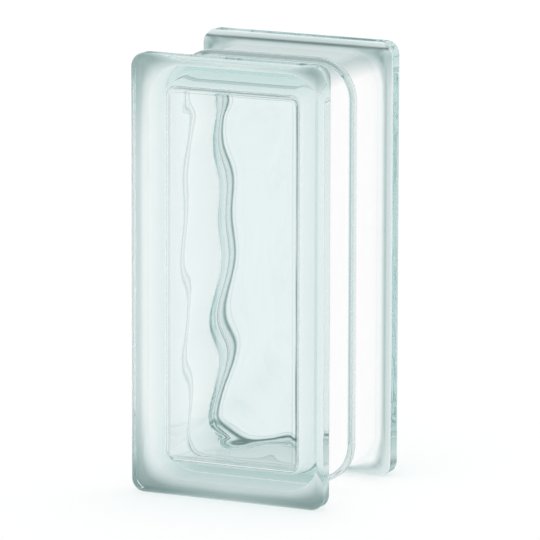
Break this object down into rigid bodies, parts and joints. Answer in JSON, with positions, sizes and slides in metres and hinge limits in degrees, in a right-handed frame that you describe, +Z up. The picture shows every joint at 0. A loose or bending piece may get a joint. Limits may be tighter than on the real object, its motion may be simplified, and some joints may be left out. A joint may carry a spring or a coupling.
{
  "type": "glass block",
  "caption": "Half-width hollow glass building block with wavy inner faces, face rims, a recessed mortar channel and a fused middle seam.",
  "frame": {"origin": "middle of the base, where the block stands on its short end", "axes": "+X across the width, +Y from the front face to the back face through the thickness, +Z up the height"},
  "size_m": [0.09, 0.08, 0.19],
  "materials": {
    "glass": "fire-polished, clear with a faint blue-green tint"
  },
  "bodies": {
    "root": {"glass_block": "glass"}
  },
  "joints": []
}
